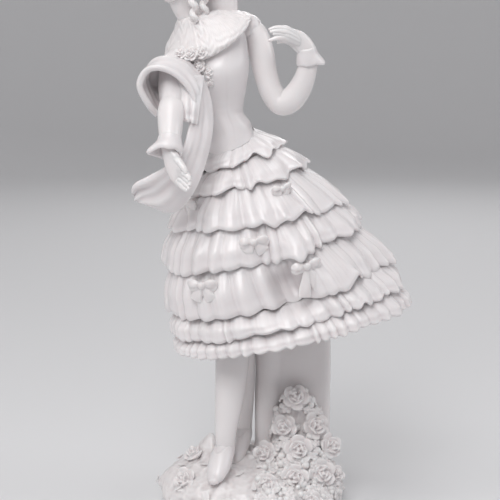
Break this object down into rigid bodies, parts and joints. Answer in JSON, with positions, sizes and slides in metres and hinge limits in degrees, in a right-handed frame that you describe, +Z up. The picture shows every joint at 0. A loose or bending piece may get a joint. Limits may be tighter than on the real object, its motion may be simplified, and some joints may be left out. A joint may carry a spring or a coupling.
{
  "type": "porcelain figurine",
  "caption": "Glazed white porcelain figurine of a dancer in a wide flounced skirt, standing on a flower-covered base in front of a column.",
  "frame": {"origin": "centre of the flat underside of the base", "axes": "+Z up along the standing figure, the figure's front towards -Y, the flared side of the skirt towards +X"},
  "size_m": [0.1376, 0.0994, 0.288],
  "materials": {
    "porcelain_dress": "clear gloss glaze over white porcelain",
    "porcelain_flesh": "clear gloss glaze over smooth white porcelain",
    "porcelain_relief": "clear gloss glaze pooled in fine relief",
    "porcelain_base": "clear gloss glaze, with the flat foot left unglazed"
  },
  "bodies": {
    "root": {"base_mound": "porcelain_base", "base_rose_1": "porcelain_relief", "base_rose_10": "porcelain_relief", "base_rose_11": "porcelain_relief", "base_rose_12": "porcelain_relief", "base_rose_13": "porcelain_relief", "base_rose_2": "porcelain_relief", "base_rose_3": "porcelain_relief", "base_rose_4": "porcelain_relief", "base_rose_5": "porcelain_relief", "base_rose_6": "porcelain_relief", "base_rose_7": "porcelain_relief", "base_rose_8": "porcelain_relief", "base_rose_9": "porcelain_relief", "bodice": "porcelain_dress", "bodice_rose_1": "porcelain_relief", "bodice_rose_2": "porcelain_relief", "bodice_rose_3": "porcelain_relief", "bodice_rose_4": "porcelain_relief", "bodice_rose_5": "porcelain_relief", "bodice_rose_6": "porcelain_relief", "bow_1": "porcelain_relief", "bow_2": "porcelain_relief", "bow_3": "porcelain_relief", "bow_4": "porcelain_relief", "bow_5": "porcelain_relief", "column": "porcelain_base", "flounce_1": "porcelain_dress", "flounce_2": "porcelain_dress", "flounce_3": "porcelain_dress", "flounce_4": "porcelain_dress", "flounce_5": "porcelain_dress", "flounce_6": "porcelain_dress", "flounce_7": "porcelain_dress", "hair": "porcelain_relief", "head": "porcelain_flesh", "lace_collar": "porcelain_relief", "left_arm": "porcelain_flesh", "left_cuff": "porcelain_dress", "left_hand": "porcelain_flesh", "left_leg": "porcelain_flesh", "left_shoe": "porcelain_dress", "left_sleeve_cap": "porcelain_dress", "right_arm": "porcelain_flesh", "right_cuff": "porcelain_dress", "right_hand": "porcelain_flesh", "right_leg": "porcelain_flesh", "right_shoe": "porcelain_dress", "right_sleeve": "porcelain_dress", "ringlet_1": "porcelain_relief", "ringlet_2": "porcelain_relief", "shawl": "porcelain_dress", "underskirt": "porcelain_dress", "veil": "porcelain_dress"}
  },
  "joints": []
}
